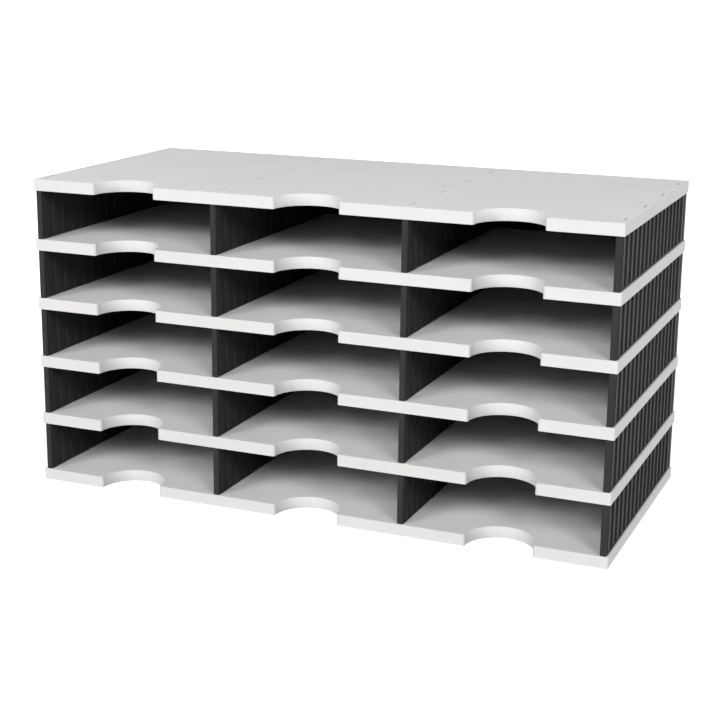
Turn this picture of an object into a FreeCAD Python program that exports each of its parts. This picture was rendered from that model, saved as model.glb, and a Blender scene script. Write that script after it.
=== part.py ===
import FreeCAD, Part
import os

from FreeCAD import Vector

# Pigeonhole mail sorter, plugged together without tools.
# Moulded plates are stacked on ribbed walls, and a back panel slides into the walls
# behind each compartment. Every wall plugs into the plate below it and the plate above it.
#
# Frame, in millimetres: +X along the columns to the right, +Y from the front to the back,
# +Z up. The origin is on the desk, under the middle of the base plate.

# ---------------------------------------------------------------- driving sizes

# Layout
TIER_COUNT = 5
COLUMN_COUNT = 3
CLEAR_HEIGHT = 59.5  # between one plate and the next, so also the height of a wall

# Plates
PLATE_WIDTH = 723.0
PLATE_DEPTH = 335.0
PLATE_THICKNESS = 14.0  # height of the rim
SKIN_THICKNESS = 2.5
RIM_THICKNESS = 2.2
NOTCH_RADIUS = 40.0  # finger notch in the front rim
NOTCH_SETBACK = 3.0  # from the front of the plate to the middle of the half circle
MOUTH_CHAMFER = 1.5  # blunts the two front corners of a notch
GUIDE_RIBS_PER_COLUMN = 3
GUIDE_RIB_THICKNESS = 1.8
SOCKET_WALL = 1.8  # plastic on each side of a socket under the skin

# Walls
WALL_WIDTH = 8.7  # over the ribs
WALL_INSET = 1.65  # from the side of the plate to the outermost wall
WALL_SETBACK = 0.8  # from the front and the back of the plate
WEB_THICKNESS = 3.5  # between the roots of the ribs
HEAD_WIDTH = 7.6  # blunt front edge of the wall
HEAD_LENGTH = 2.4
HEAD_CHAMFER = 1.2
HEAD_GROOVE_LENGTH = 2.8  # from the head to the first rib
RIB_COUNT = 16
LAST_RIB_LENGTH = 10.0  # plain bar in front of the slot of the back panel
POST_LENGTH = 10.2  # plain bar behind the slot of the back panel
RAIL_HEIGHT = 2.0  # closes the grooves between the ribs at the foot and at the top

# Tabs that plug the walls into the plates. Along one wall a plate has a row of sockets: those
# at its ends take the tabs of the wall below, and those between take the tabs of the wall above.
SOCKETS_PER_WALL = 4
SOCKET_END_DISTANCE = 28.5  # from the front or back of the plate to the middle of a socket
TAB_LENGTH = 24.0
TAB_THICKNESS = 1.8
TAB_HEIGHT = 10.0
TAB_TAPER = 1.0  # shortens the tip at each end, to lead the tab in
TAB_CLEARANCE = 0.2

# Back panels
PANEL_THICKNESS = 2.5
PANEL_CLEARANCE = 0.3

# ---------------------------------------------------------------- derived sizes

TIER_PITCH = CLEAR_HEIGHT + PLATE_THICKNESS
COLUMN_PITCH = (PLATE_WIDTH - 2 * WALL_INSET - WALL_WIDTH) / COLUMN_COUNT
FRONT = -PLATE_DEPTH / 2
BACK = PLATE_DEPTH / 2

NOTCH_CENTRE_Y = FRONT + NOTCH_SETBACK

SOCKET_LENGTH = TAB_LENGTH + 2 * TAB_CLEARANCE
SOCKET_WIDTH = TAB_THICKNESS + 2 * TAB_CLEARANCE
BAR_WIDTH = SOCKET_WIDTH + 2 * SOCKET_WALL

WALL_FRONT = FRONT + WALL_SETBACK
WALL_BACK = BACK - WALL_SETBACK
POST_FRONT = WALL_BACK - POST_LENGTH
PANEL_BACK = POST_FRONT - PANEL_CLEARANCE
LAST_RIB_BACK = PANEL_BACK - PANEL_THICKNESS - PANEL_CLEARANCE
FIRST_RIB_FRONT = WALL_FRONT + HEAD_LENGTH + HEAD_GROOVE_LENGTH
RIB_PITCH = (LAST_RIB_BACK - LAST_RIB_LENGTH - FIRST_RIB_FRONT) / (RIB_COUNT - 1)

COLUMN_CENTRES = [(i - (COLUMN_COUNT - 1) / 2) * COLUMN_PITCH for i in range(COLUMN_COUNT)]
WALL_CENTRES = [(i - COLUMN_COUNT / 2) * COLUMN_PITCH for i in range(COLUMN_COUNT + 1)]
SOCKET_PITCH = (PLATE_DEPTH - 2 * SOCKET_END_DISTANCE) / (SOCKETS_PER_WALL - 1)
SOCKET_CENTRES = [FRONT + SOCKET_END_DISTANCE + i * SOCKET_PITCH for i in range(SOCKETS_PER_WALL)]
TOP_TAB_CENTRES = [SOCKET_CENTRES[0], SOCKET_CENTRES[-1]]
FOOT_TAB_CENTRES = SOCKET_CENTRES[1:-1]

FUZZ = 1e-6  # two coordinates closer than this are the same


# ---------------------------------------------------------------- shared helpers

def block(centre_x, centre_y, bottom, size_x, size_y, size_z):
    """Upright block, centred in plan."""
    corner = Vector(centre_x - size_x / 2, centre_y - size_y / 2, bottom)
    return Part.makeBox(size_x, size_y, size_z, corner)


def point(x, y):
    """Point of a plan outline."""
    return Vector(x, y, 0)


def line(start, end):
    """Straight edge of an outline."""
    return Part.LineSegment(start, end).toShape()


def polyline(points):
    """Straight edges through the points, left open."""
    return [line(a, b) for a, b in zip(points, points[1:])]


# ---------------------------------------------------------------- plates

def notch_edges(centre_x, inset):
    """Front edge of one finger notch: a half circle with a short straight side at each end."""
    radius = NOTCH_RADIUS + inset
    left_mouth = point(centre_x - radius, FRONT + inset)
    left_end = point(centre_x - radius, NOTCH_CENTRE_Y)
    deepest = point(centre_x, NOTCH_CENTRE_Y + radius)
    right_end = point(centre_x + radius, NOTCH_CENTRE_Y)
    right_mouth = point(centre_x + radius, FRONT + inset)
    half_circle = Part.Arc(left_end, deepest, right_end).toShape()
    return [line(left_mouth, left_end), half_circle, line(right_end, right_mouth)]


def plate_outline(inset):
    """Plan of the plate, moved inwards from its rim by the inset."""
    side = PLATE_WIDTH / 2 - inset
    front = FRONT + inset
    edges = []
    last = point(-side, front)
    for centre_x in COLUMN_CENTRES:
        notch = notch_edges(centre_x, inset)
        edges.append(line(last, notch[0].Vertexes[0].Point))
        edges += notch
        last = notch[-1].Vertexes[-1].Point
    back = BACK - inset
    rest = [last, point(side, front), point(side, back), point(-side, back), point(-side, front)]
    return Part.Face(Part.Wire(edges + polyline(rest)))


def at_mouth(edge):
    """Whether an edge is the upright corner between the front of the rim and a notch."""
    box = edge.BoundBox
    upright = box.ZLength > 0 and box.XLength + box.YLength < FUZZ
    beside_notch = [abs(abs(box.XMin - x) - NOTCH_RADIUS) < FUZZ for x in COLUMN_CENTRES]
    return upright and abs(box.YMin - FRONT) < FUZZ and any(beside_notch)


def socket_bars():
    """Bars under the skin along each line of walls. The outermost ones join the rim."""
    depth = PLATE_THICKNESS - SKIN_THICKNESS
    bars = [block(x, 0, 0, BAR_WIDTH, PLATE_DEPTH, depth) for x in WALL_CENTRES]
    edge_width = PLATE_WIDTH / 2 - WALL_CENTRES[-1]
    for side in (-1, 1):
        centre = side * (PLATE_WIDTH - edge_width) / 2
        bars.append(block(centre, 0, 0, edge_width, PLATE_DEPTH, depth))
    return bars


def guide_ribs():
    """Ribs under the skin that run from front to back, so that mail slides along them."""
    spacing = COLUMN_PITCH / (GUIDE_RIBS_PER_COLUMN + 1)
    depth = PLATE_THICKNESS - SKIN_THICKNESS
    ribs = []
    for left in WALL_CENTRES[:-1]:
        for i in range(GUIDE_RIBS_PER_COLUMN):
            x = left + (i + 1) * spacing
            ribs.append(block(x, 0, 0, GUIDE_RIB_THICKNESS, PLATE_DEPTH, depth))
    return ribs


def sockets():
    """Slots right through the plate, open to the wall above and to the wall below."""
    cuts = []
    for x in WALL_CENTRES:
        for y in SOCKET_CENTRES:
            cuts.append(block(x, y, 0, SOCKET_WIDTH, SOCKET_LENGTH, PLATE_THICKNESS))
    return cuts


def plate():
    """One moulded plate with its underside at zero height."""
    up = Vector(0, 0, 1)
    body = plate_outline(0).extrude(up * PLATE_THICKNESS)
    body = body.makeChamfer(MOUTH_CHAMFER, [edge for edge in body.Edges if at_mouth(edge)])
    cavity = plate_outline(RIM_THICKNESS).extrude(up * (PLATE_THICKNESS - SKIN_THICKNESS))
    cells = cavity.cut(socket_bars() + guide_ribs())
    return body.cut(cells).cut(sockets()).removeSplitter()


# ---------------------------------------------------------------- walls

def head_side():
    """Right-hand half of the blunt front edge of a wall, seen from above."""
    half = HEAD_WIDTH / 2
    corners = [(half - HEAD_CHAMFER, WALL_FRONT), (half, WALL_FRONT + HEAD_CHAMFER)]
    return corners + [(half, WALL_FRONT + HEAD_LENGTH)]


def wall_side():
    """Right-hand half of a wall: head, sawtooth ribs, panel slot and post."""
    web = WEB_THICKNESS / 2
    face = WALL_WIDTH / 2
    points = head_side()
    for i in range(RIB_COUNT):
        rib_front = FIRST_RIB_FRONT + i * RIB_PITCH
        points += [(web, rib_front), (face, rib_front)]
    points += [(face, LAST_RIB_BACK), (web, LAST_RIB_BACK)]
    points += [(web, POST_FRONT), (face, POST_FRONT), (face, WALL_BACK)]
    return points


def rail_side():
    """Right-hand half of a rail, which ends at the slot of the back panel."""
    face = WALL_WIDTH / 2
    return head_side() + [(face, FIRST_RIB_FRONT), (face, LAST_RIB_BACK)]


def both_sides(side):
    """Plan between a right-hand half outline and its mirror image."""
    right = [point(x, y) for x, y in side]
    left = [point(-x, y) for x, y in reversed(side)]
    return Part.Face(Part.makePolygon(right + left + right[:1]))


def tab(centre_y, base, direction):
    """Tapered tab that stands on a wall's edge, up or down by its direction."""
    root = TAB_LENGTH / 2
    tip = root - TAB_TAPER
    end = base + direction * TAB_HEIGHT
    corners = [(-root, base), (root, base), (tip, end), (-tip, end), (-root, base)]
    points = [Vector(-TAB_THICKNESS / 2, centre_y + y, z) for y, z in corners]
    return Part.Face(Part.makePolygon(points)).extrude(Vector(TAB_THICKNESS, 0, 0))


def wall():
    """One ribbed wall, centred in X, standing at zero height on its plate."""
    up = Vector(0, 0, 1)
    body = both_sides(wall_side()).extrude(up * CLEAR_HEIGHT)
    foot_rail = both_sides(rail_side()).extrude(up * RAIL_HEIGHT)
    top_rail = foot_rail.translated(up * (CLEAR_HEIGHT - RAIL_HEIGHT))
    tabs = [tab(y, 0, -1) for y in FOOT_TAB_CENTRES]
    tabs += [tab(y, CLEAR_HEIGHT, 1) for y in TOP_TAB_CENTRES]
    return body.fuse([foot_rail, top_rail] + tabs).removeSplitter()


# ---------------------------------------------------------------- back panels

def back_panel():
    """Plain sheet that slides down into the slots of two neighbouring walls."""
    width = COLUMN_PITCH - WEB_THICKNESS - 2 * PANEL_CLEARANCE
    centre_y = PANEL_BACK - PANEL_THICKNESS / 2
    return block(0, centre_y, 0, width, PANEL_THICKNESS, CLEAR_HEIGHT)


# ---------------------------------------------------------------- assembly

def plate_names():
    """Names of the plates from the desk upwards."""
    shelves = [f"shelf_plate_{tier}" for tier in range(1, TIER_COUNT)]
    return ["base_plate"] + shelves + ["top_plate"]


def wall_names(tier):
    """Names of one tier's walls from left to right."""
    partitions = [f"tier_{tier}_partition_{i}" for i in range(1, COLUMN_COUNT)]
    return [f"tier_{tier}_left_wall"] + partitions + [f"tier_{tier}_right_wall"]


def placed(shape, x, z):
    """Copy of a shape, moved to its place in the stack."""
    return shape.translated(Vector(x, 0, z))


def assembly():
    """Every piece at its place, by name."""
    plate_shape = plate()
    wall_shape = wall()
    panel_shape = back_panel()
    pieces = {}
    for level, name in enumerate(plate_names()):
        pieces[name] = placed(plate_shape, 0, level * TIER_PITCH)
    for tier in range(1, TIER_COUNT + 1):
        floor = (tier - 1) * TIER_PITCH + PLATE_THICKNESS
        for name, x in zip(wall_names(tier), WALL_CENTRES):
            pieces[name] = placed(wall_shape, x, floor)
        for column, x in enumerate(COLUMN_CENTRES, start=1):
            pieces[f"tier_{tier}_back_panel_{column}"] = placed(panel_shape, x, floor)
    return pieces


def main():
    """Write one STEP file per piece."""
    os.makedirs("parts", exist_ok=True)
    for name, shape in assembly().items():
        shape.exportStep(f"parts/{name}.step")
        print(f"{name}: {len(shape.Solids)} solid, valid {shape.isValid()}")


main()
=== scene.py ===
"""A desk-top pigeonhole mail sorter: six notched shelf plates, twenty ribbed walls and
fifteen back panels that plug together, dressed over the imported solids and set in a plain
studio. Lengths are in metres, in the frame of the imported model: x runs to the right, y to
the back and z up from the floor."""

import logging
import math
from dataclasses import dataclass, field
from enum import Enum
from typing import Any, Optional, Union

import bpy
from mathutils import Matrix, Vector

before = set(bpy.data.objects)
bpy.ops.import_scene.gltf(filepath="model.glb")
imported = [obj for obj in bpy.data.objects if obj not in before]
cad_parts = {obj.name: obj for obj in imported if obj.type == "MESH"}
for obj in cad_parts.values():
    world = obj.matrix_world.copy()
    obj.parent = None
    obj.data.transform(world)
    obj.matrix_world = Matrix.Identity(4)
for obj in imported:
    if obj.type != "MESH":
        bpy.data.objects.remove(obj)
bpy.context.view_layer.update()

LOG = logging.getLogger("mail_sorter")
PICTURE_SIDE = 720  # pixels
SENSOR_WIDTH = 36.0  # millimetres

# The sorter's counts, each numbered from the desk up or from the left
TIERS = range(1, 6)
SHELVES = range(1, 5)
COLUMNS = range(1, 4)

# The curve of a display: straight below its knee, and a power above it
HIGHEST_LEVEL = 255
CURVE_KNEE = 0.04045
CURVE_SLOPE = 12.92
CURVE_OFFSET = 0.055
CURVE_POWER = 2.4

Colour = tuple[float, float, float, float]
Number = Union[float, "Signal"]


def linear(level: float) -> float:
    """Turns one display level, 0 to 255, into the linear value that a shader takes."""
    share = level / HIGHEST_LEVEL
    if share <= CURVE_KNEE:
        return share / CURVE_SLOPE
    return ((share + CURVE_OFFSET) / (1 + CURVE_OFFSET)) ** CURVE_POWER


def colour(red: float, green: float, blue: float) -> Colour:
    """Gives the shader colour of three display levels, 0 to 255."""
    return (linear(red), linear(green), linear(blue), 1.0)


WHITE = colour(255, 255, 255)


class Grain(Enum):
    """The way that a mould's marks run over a piece, as the scale of their pattern along
    each axis: a small one draws them out."""

    EVEN = (1.0, 1.0, 1.0)
    FRONT_TO_BACK = (1.0, 0.04, 1.0)
    UP_AND_DOWN = (1.0, 1.0, 0.03)


@dataclass(frozen=True)
class Patches:
    """How an irregular pattern breaks up into patches: how many finer layers it holds, and
    the two levels of its noise between which a patch goes from nothing to full."""

    detail: float
    low: float
    high: float


CLOUDS = Patches(detail=3.0, low=0.35, high=0.65)
STREAKS = Patches(detail=2.0, low=0.4, high=0.7)
HANDLING = Patches(detail=5.0, low=0.45, high=0.75)
GRAIN_DETAIL = 3.0
NOISE_ROUGHNESS = 0.55


class Signal:
    """A value that runs through a material, with its arithmetic written as expressions."""

    def __init__(self, graph: "Graph", socket: Optional[bpy.types.NodeSocket]) -> None:
        """Wraps an output socket.

        Args:
            graph: the node graph that the socket belongs to.
            socket: the output that gives the value, or None for a node that ends the graph.
        """
        self.graph = graph
        self.socket = socket

    def _math(self, operation: str, first: Number, second: Number) -> "Signal":
        """Adds a Math node.

        Args:
            operation: the name of the node's operation.
            first: its first value or link.
            second: its second value or link.

        Returns:
            The node's result.
        """
        return self.graph.add("ShaderNodeMath", {"operation": operation}, {0: first, 1: second})

    def __add__(self, other: Number) -> "Signal":
        """Adds a value to this one."""
        return self._math("ADD", self, other)

    def __radd__(self, other: Number) -> "Signal":
        """Adds this value to a number."""
        return self._math("ADD", other, self)

    def __sub__(self, other: Number) -> "Signal":
        """Takes a value from this one."""
        return self._math("SUBTRACT", self, other)

    def __rsub__(self, other: Number) -> "Signal":
        """Takes this value from a number."""
        return self._math("SUBTRACT", other, self)

    def __mul__(self, other: Number) -> "Signal":
        """Multiplies this value."""
        return self._math("MULTIPLY", self, other)

    def __rmul__(self, other: Number) -> "Signal":
        """Multiplies a number by this value."""
        return self._math("MULTIPLY", other, self)


class Graph:
    """The node graph of one material or of the world."""

    def __init__(self, tree: bpy.types.NodeTree) -> None:
        """Takes a node tree and empties it.

        Args:
            tree: the tree of the material or world.
        """
        self.tree = tree
        self.tree.nodes.clear()

    def add(
        self,
        kind: str,
        settings: dict[str, Any],
        sockets: dict[Union[int, str], Any],
        output: Union[int, str] = 0,
    ) -> Signal:
        """Adds a node.

        Args:
            kind: the node's type name.
            settings: its own settings, set before its sockets.
            sockets: a number, colour, vector or Signal for each input named or counted.
            output: the output that the result comes from.

        Returns:
            The chosen output.
        """
        node = self.tree.nodes.new(kind)
        for name, value in settings.items():
            setattr(node, name, value)
        for name, value in sockets.items():
            if isinstance(value, Signal):
                self.tree.links.new(value.socket, node.inputs[name])
            else:
                node.inputs[name].default_value = value
        return Signal(self, node.outputs[output] if node.outputs else None)

    def blend(self, share: Number, first: Any, second: Any) -> Signal:
        """Mixes two colours.

        Args:
            share: how much of the second colour there is.
            first: the first colour or its link.
            second: the second colour or its link.

        Returns:
            The mixed colour.
        """
        return self.add(
            "ShaderNodeMix",
            {"data_type": "RGBA"},
            {0: share, 6: first, 7: second},
            output=2,
        )

    def place(self) -> Signal:
        """Gives the place on the object, in metres."""
        return self.add("ShaderNodeTexCoord", {}, {}, output="Object")

    def noise(self, size: float, run: Grain, detail: float) -> Signal:
        """Adds an irregular pattern with values near 0.5.

        Args:
            size: how large its patches are, in metres.
            run: the way that the patches are drawn out.
            detail: how many finer layers it holds.

        Returns:
            The pattern's value.
        """
        drawn_out = self.add(
            "ShaderNodeMapping",
            {"vector_type": "POINT"},
            {"Vector": self.place(), "Scale": run.value},
        )
        return self.add(
            "ShaderNodeTexNoise",
            {"noise_dimensions": "3D"},
            {
                "Vector": drawn_out,
                "Scale": 1 / size,
                "Detail": detail,
                "Roughness": NOISE_ROUGHNESS,
            },
        )

    def stretch(self, value: Signal, low: float, high: float) -> Signal:
        """Spreads the part of a value between two levels over 0 to 1, and cuts off the rest.

        Args:
            value: the value to spread.
            low: the level that gives 0.
            high: the level that gives 1.

        Returns:
            The spread value.
        """
        return self.add(
            "ShaderNodeMapRange",
            {"clamp": True},
            {"Value": value, "From Min": low, "From Max": high, "To Min": 0.0, "To Max": 1.0},
        )

    def patches(self, size: float, run: Grain, kind: Patches) -> Signal:
        """Adds an irregular pattern of separate patches, 0 between them and 1 in them.

        Args:
            size: how large the patches are, in metres.
            run: the way that the patches are drawn out.
            kind: how the pattern breaks up.

        Returns:
            The pattern's value.
        """
        return self.stretch(self.noise(size, run, kind.detail), kind.low, kind.high)


@dataclass(frozen=True)
class MouldedPlastic:
    """An injection-moulded plastic: its colours, its roughness and the marks of its mould.

    Clouds are the large faint patches that the melt leaves. Streaks are the marks of the
    flow or of the draw from the mould. Grain is the fine texture of the mould's face.
    Handling dulls or polishes the face in patches. Sizes and depths are in metres, a share
    or weight runs from 0 to 1, and shine is the level of the mirrored light.
    """

    name: str
    base: Colour
    clouded: Colour
    streaked: Colour
    cloud_size: float
    streak_size: float
    streak_run: Grain
    streak_share: float
    grain_size: float
    grain_depth: float
    streak_depth: float
    least_rough: float
    most_rough: float
    handling_size: float
    shine: float
    handling_weight: float = 0.6
    grain_weight: float = 0.4

    def material(self) -> bpy.types.Material:
        """Builds the material.

        Returns:
            The finished material.
        """
        made = bpy.data.materials.new(self.name)
        made.use_nodes = True
        graph = Graph(made.node_tree)
        clouds = graph.patches(self.cloud_size, Grain.EVEN, CLOUDS)
        streaks = graph.patches(self.streak_size, self.streak_run, STREAKS)
        grain = graph.noise(self.grain_size, Grain.EVEN, GRAIN_DETAIL)
        handling = graph.patches(self.handling_size, Grain.EVEN, HANDLING)
        tint = graph.blend(clouds, self.base, self.clouded)
        tint = graph.blend(streaks * self.streak_share, tint, self.streaked)
        unevenness = self.handling_weight * handling + self.grain_weight * grain
        roughness = self.least_rough + (self.most_rough - self.least_rough) * unevenness
        # The height is in metres, so the bump's own distance is one.
        height = self.grain_depth * grain + self.streak_depth * streaks
        relief = graph.add(
            "ShaderNodeBump", {}, {"Strength": 1.0, "Distance": 1.0, "Height": height}
        )
        surface = graph.add(
            "ShaderNodeBsdfPrincipled",
            {},
            {
                "Base Color": tint,
                "Roughness": roughness,
                "Normal": relief,
                "Specular IOR Level": self.shine,
            },
        )
        graph.add("ShaderNodeOutputMaterial", {}, {"Surface": surface})
        return made


PLATE_PLASTIC = MouldedPlastic(
    name="plate_plastic",
    base=colour(208, 207, 206),
    clouded=colour(205, 204, 203),
    streaked=colour(211, 210, 209),
    cloud_size=0.09,
    streak_size=0.006,
    streak_run=Grain.FRONT_TO_BACK,
    streak_share=0.3,
    grain_size=0.0006,
    grain_depth=0.00002,
    streak_depth=0.000008,
    least_rough=0.58,
    most_rough=0.72,
    handling_size=0.03,
    shine=0.12,
)

WALL_PLASTIC = MouldedPlastic(
    name="wall_plastic",
    base=colour(48, 48, 50),
    clouded=colour(45, 45, 47),
    streaked=colour(54, 54, 56),
    cloud_size=0.05,
    streak_size=0.0016,
    streak_run=Grain.UP_AND_DOWN,
    streak_share=0.35,
    grain_size=0.0005,
    grain_depth=0.00003,
    streak_depth=0.00001,
    least_rough=0.52,
    most_rough=0.66,
    handling_size=0.02,
    shine=0.08,
)

PANEL_PLASTIC = MouldedPlastic(
    name="panel_plastic",
    base=colour(24, 24, 25),
    clouded=colour(20, 20, 21),
    streaked=colour(29, 29, 30),
    cloud_size=0.07,
    streak_size=0.002,
    streak_run=Grain.EVEN,
    streak_share=0.4,
    grain_size=0.0009,
    grain_depth=0.00006,
    streak_depth=0.00001,
    least_rough=0.5,
    most_rough=0.72,
    handling_size=0.03,
    shine=0.1,
)


@dataclass
class MouldedPieces:
    """Pieces that come from one mould: one finish, and edges as soft as the mould's."""

    title: str
    node_names: list[str]
    finish: MouldedPlastic
    edge_radius: float
    edge_steps: int = 2
    join_distance: float = 1e-6
    flat_angle: float = math.radians(0.5)
    sharp_angle: float = math.radians(40)

    def soften(self, piece: bpy.types.Object) -> None:
        """Rounds the sharp edges of a piece without touching its solid.

        Args:
            piece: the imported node's object.
        """
        weld = piece.modifiers.new("joined_corners", "WELD")
        weld.merge_threshold = self.join_distance
        flatten = piece.modifiers.new("whole_faces", "DECIMATE")
        flatten.decimate_type = "DISSOLVE"
        flatten.angle_limit = self.flat_angle
        rounding = piece.modifiers.new("soft_edges", "BEVEL")
        rounding.limit_method = "ANGLE"
        rounding.angle_limit = self.sharp_angle
        rounding.width = self.edge_radius
        rounding.segments = self.edge_steps
        rounding.harden_normals = True

    def dress(self) -> None:
        """Gives every piece its finish and its soft edges, and reports it."""
        material = self.finish.material()
        for name in self.node_names:
            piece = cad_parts[name]
            for slot in piece.material_slots:
                slot.material = material
            self.soften(piece)
            LOG.info("%s: %s in %s", self.title, name, self.finish.name)


@dataclass
class ShelfPlates(MouldedPieces):
    """The six notched plates, from the base to the top."""

    title: str = "shelf plate"
    node_names: list[str] = field(
        default_factory=lambda: [
            "base_plate",
            *(f"shelf_plate_{level}" for level in SHELVES),
            "top_plate",
        ]
    )
    finish: MouldedPlastic = PLATE_PLASTIC
    edge_radius: float = 0.0006


@dataclass
class RibbedWalls(MouldedPieces):
    """The four ribbed walls of each tier."""

    title: str = "ribbed wall"
    node_names: list[str] = field(
        default_factory=lambda: [
            f"tier_{tier}_{place}"
            for tier in TIERS
            for place in ("left_wall", "partition_1", "partition_2", "right_wall")
        ]
    )
    finish: MouldedPlastic = WALL_PLASTIC
    edge_radius: float = 0.0005


@dataclass
class BackPanels(MouldedPieces):
    """The three panels that close the back of each tier."""

    title: str = "back panel"
    node_names: list[str] = field(
        default_factory=lambda: [
            f"tier_{tier}_back_panel_{column}" for tier in TIERS for column in COLUMNS
        ]
    )
    finish: MouldedPlastic = PANEL_PLASTIC
    edge_radius: float = 0.0004


@dataclass
class Viewpoint:
    """The camera, which looks down on the sorter from the right of its front. Its turn is
    to the right of the front, its tilt is downwards and its shift is a share of the picture's
    side."""

    place: Vector = field(default_factory=lambda: Vector((0.7129, -1.7287, 0.6549)))
    turn: float = math.radians(23.286)
    tilt: float = math.radians(14.174)
    roll: float = math.radians(0.386)
    focal_pixels: float = 1548.5
    shift: float = 0.03

    def build(self) -> None:
        """Makes the camera and hands it to the scene."""
        data = bpy.data.cameras.new("viewpoint")
        data.sensor_width = SENSOR_WIDTH
        data.lens = self.focal_pixels * SENSOR_WIDTH / PICTURE_SIDE
        data.shift_x = self.shift
        data.shift_y = -self.shift
        camera = bpy.data.objects.new("viewpoint", data)
        camera.location = self.place
        turned = (
            Matrix.Rotation(self.turn, 3, "Z")
            @ Matrix.Rotation(math.pi / 2 - self.tilt, 3, "X")
            @ Matrix.Rotation(self.roll, 3, "Z")
        )
        camera.rotation_euler = turned.to_euler()
        bpy.context.scene.collection.objects.link(camera)
        bpy.context.scene.camera = camera
        LOG.info("camera: lens %.1f mm", data.lens)


@dataclass(frozen=True)
class Softbox:
    """A square lamp that faces the middle of the sorter. Its bearing is to the right of the
    front and its height is an angle above the floor, both in degrees. Its power is in watts."""

    name: str
    bearing: float
    height: float
    side: float
    power: float
    distance: float = 5.0
    aim: tuple[float, float, float] = (0.0, 0.0, 0.19)

    def build(self) -> None:
        """Makes the lamp and turns it towards its aim."""
        bearing = math.radians(self.bearing)
        height = math.radians(self.height)
        outward = Vector((
            math.sin(bearing) * math.cos(height),
            -math.cos(bearing) * math.cos(height),
            math.sin(height),
        ))
        data = bpy.data.lights.new(self.name, "AREA")
        data.shape = "SQUARE"
        data.size = self.side
        data.energy = self.power
        lamp = bpy.data.objects.new(self.name, data)
        lamp.location = Vector(self.aim) + outward * self.distance
        lamp.rotation_euler = (-outward).to_track_quat("-Z", "Y").to_euler()
        bpy.context.scene.collection.objects.link(lamp)


@dataclass
class Studio:
    """The pale floor, the lamps and the white surroundings.

    The floor's own colour is what the lamps light. The glow is laid over it only where the
    floor is seen, and goes from the near one to the far one between the two distances.
    Ambient is the strength of the light from the surroundings.
    """

    floor_half_width: float = 6.0
    floor_colour: Colour = colour(198, 198, 198)
    near_glow: Colour = colour(225, 225, 225)
    far_glow: Colour = WHITE
    near_distance: float = 0.45
    far_distance: float = 1.1
    ambient: float = 0.01
    lamps: tuple[Softbox, ...] = (
        Softbox("right_softbox", bearing=44.0, height=30.0, side=1.6, power=123.0),
        Softbox("left_softbox", bearing=-27.0, height=28.0, side=1.6, power=125.0),
        Softbox("front_softbox", bearing=8.0, height=33.0, side=1.6, power=100.0),
        Softbox("right_rear_softbox", bearing=118.0, height=20.0, side=1.6, power=84.0),
        Softbox("left_rear_softbox", bearing=-125.0, height=20.0, side=1.6, power=70.0),
        Softbox("overhead_softbox", bearing=120.0, height=80.0, side=2.0, power=7.0, distance=3.0),
    )

    def build(self) -> None:
        """Makes the floor, the world and the lamps."""
        self._floor()
        self._surroundings()
        for lamp in self.lamps:
            lamp.build()
        LOG.info("studio: %d lamps", len(self.lamps))

    def _seen(self, graph: Graph) -> Signal:
        """Tells the rays that show the background, straight or by reflection, from the rest.

        Args:
            graph: the graph of the floor or of the world.

        Returns:
            1 where the background is seen and 0 where it lights something.
        """
        straight = graph.add("ShaderNodeLightPath", {}, {}, output="Is Camera Ray")
        mirrored = graph.add("ShaderNodeLightPath", {}, {}, output="Is Glossy Ray")
        through = graph.add("ShaderNodeLightPath", {}, {}, output="Is Transmission Ray")
        bounced = graph.add(
            "ShaderNodeMath", {"operation": "MAXIMUM"}, {0: mirrored, 1: through}
        )
        return graph.add("ShaderNodeMath", {"operation": "MAXIMUM"}, {0: straight, 1: bounced})

    def _floor(self) -> None:
        """Makes the floor, which keeps the sorter's shadow and turns white away from it."""
        half = self.floor_half_width
        mesh = bpy.data.meshes.new("floor")
        corners = [(-half, -half, 0), (half, -half, 0), (half, half, 0), (-half, half, 0)]
        mesh.from_pydata(corners, [], [(0, 1, 2, 3)])
        floor = bpy.data.objects.new("floor", mesh)
        bpy.context.scene.collection.objects.link(floor)
        paint = bpy.data.materials.new("floor_paint")
        paint.use_nodes = True
        graph = Graph(paint.node_tree)
        matt = graph.add("ShaderNodeBsdfDiffuse", {}, {"Color": self.floor_colour})
        away = graph.add(
            "ShaderNodeVectorMath", {"operation": "LENGTH"}, {0: graph.place()}, output="Value"
        )
        fade = graph.stretch(away, self.near_distance, self.far_distance)
        glow = graph.add(
            "ShaderNodeEmission",
            {},
            {
                "Color": graph.blend(fade, self.near_glow, self.far_glow),
                "Strength": self._seen(graph),
            },
        )
        both = graph.add("ShaderNodeAddShader", {}, {0: matt, 1: glow})
        graph.add("ShaderNodeOutputMaterial", {}, {"Surface": both})
        mesh.materials.append(paint)

    def _surroundings(self) -> None:
        """Makes the world: white where it is seen, and a faint light where it isn't."""
        world = bpy.data.worlds.new("surroundings")
        world.use_nodes = True
        graph = Graph(world.node_tree)
        seen = self._seen(graph)
        strength = seen + self.ambient * (1 - seen)
        sky = graph.add("ShaderNodeBackground", {}, {"Color": WHITE, "Strength": strength})
        graph.add("ShaderNodeOutputWorld", {}, {"Surface": sky})
        bpy.context.scene.world = world


def main() -> None:
    """Builds the view, the studio and the sorter's pieces."""
    logging.basicConfig(level=logging.INFO, format="%(name)s: %(message)s")
    bpy.context.scene.view_settings.view_transform = "Standard"
    Viewpoint().build()
    Studio().build()
    for pieces in (ShelfPlates(), RibbedWalls(), BackPanels()):
        pieces.dress()


if __name__ == "__main__":
    main()
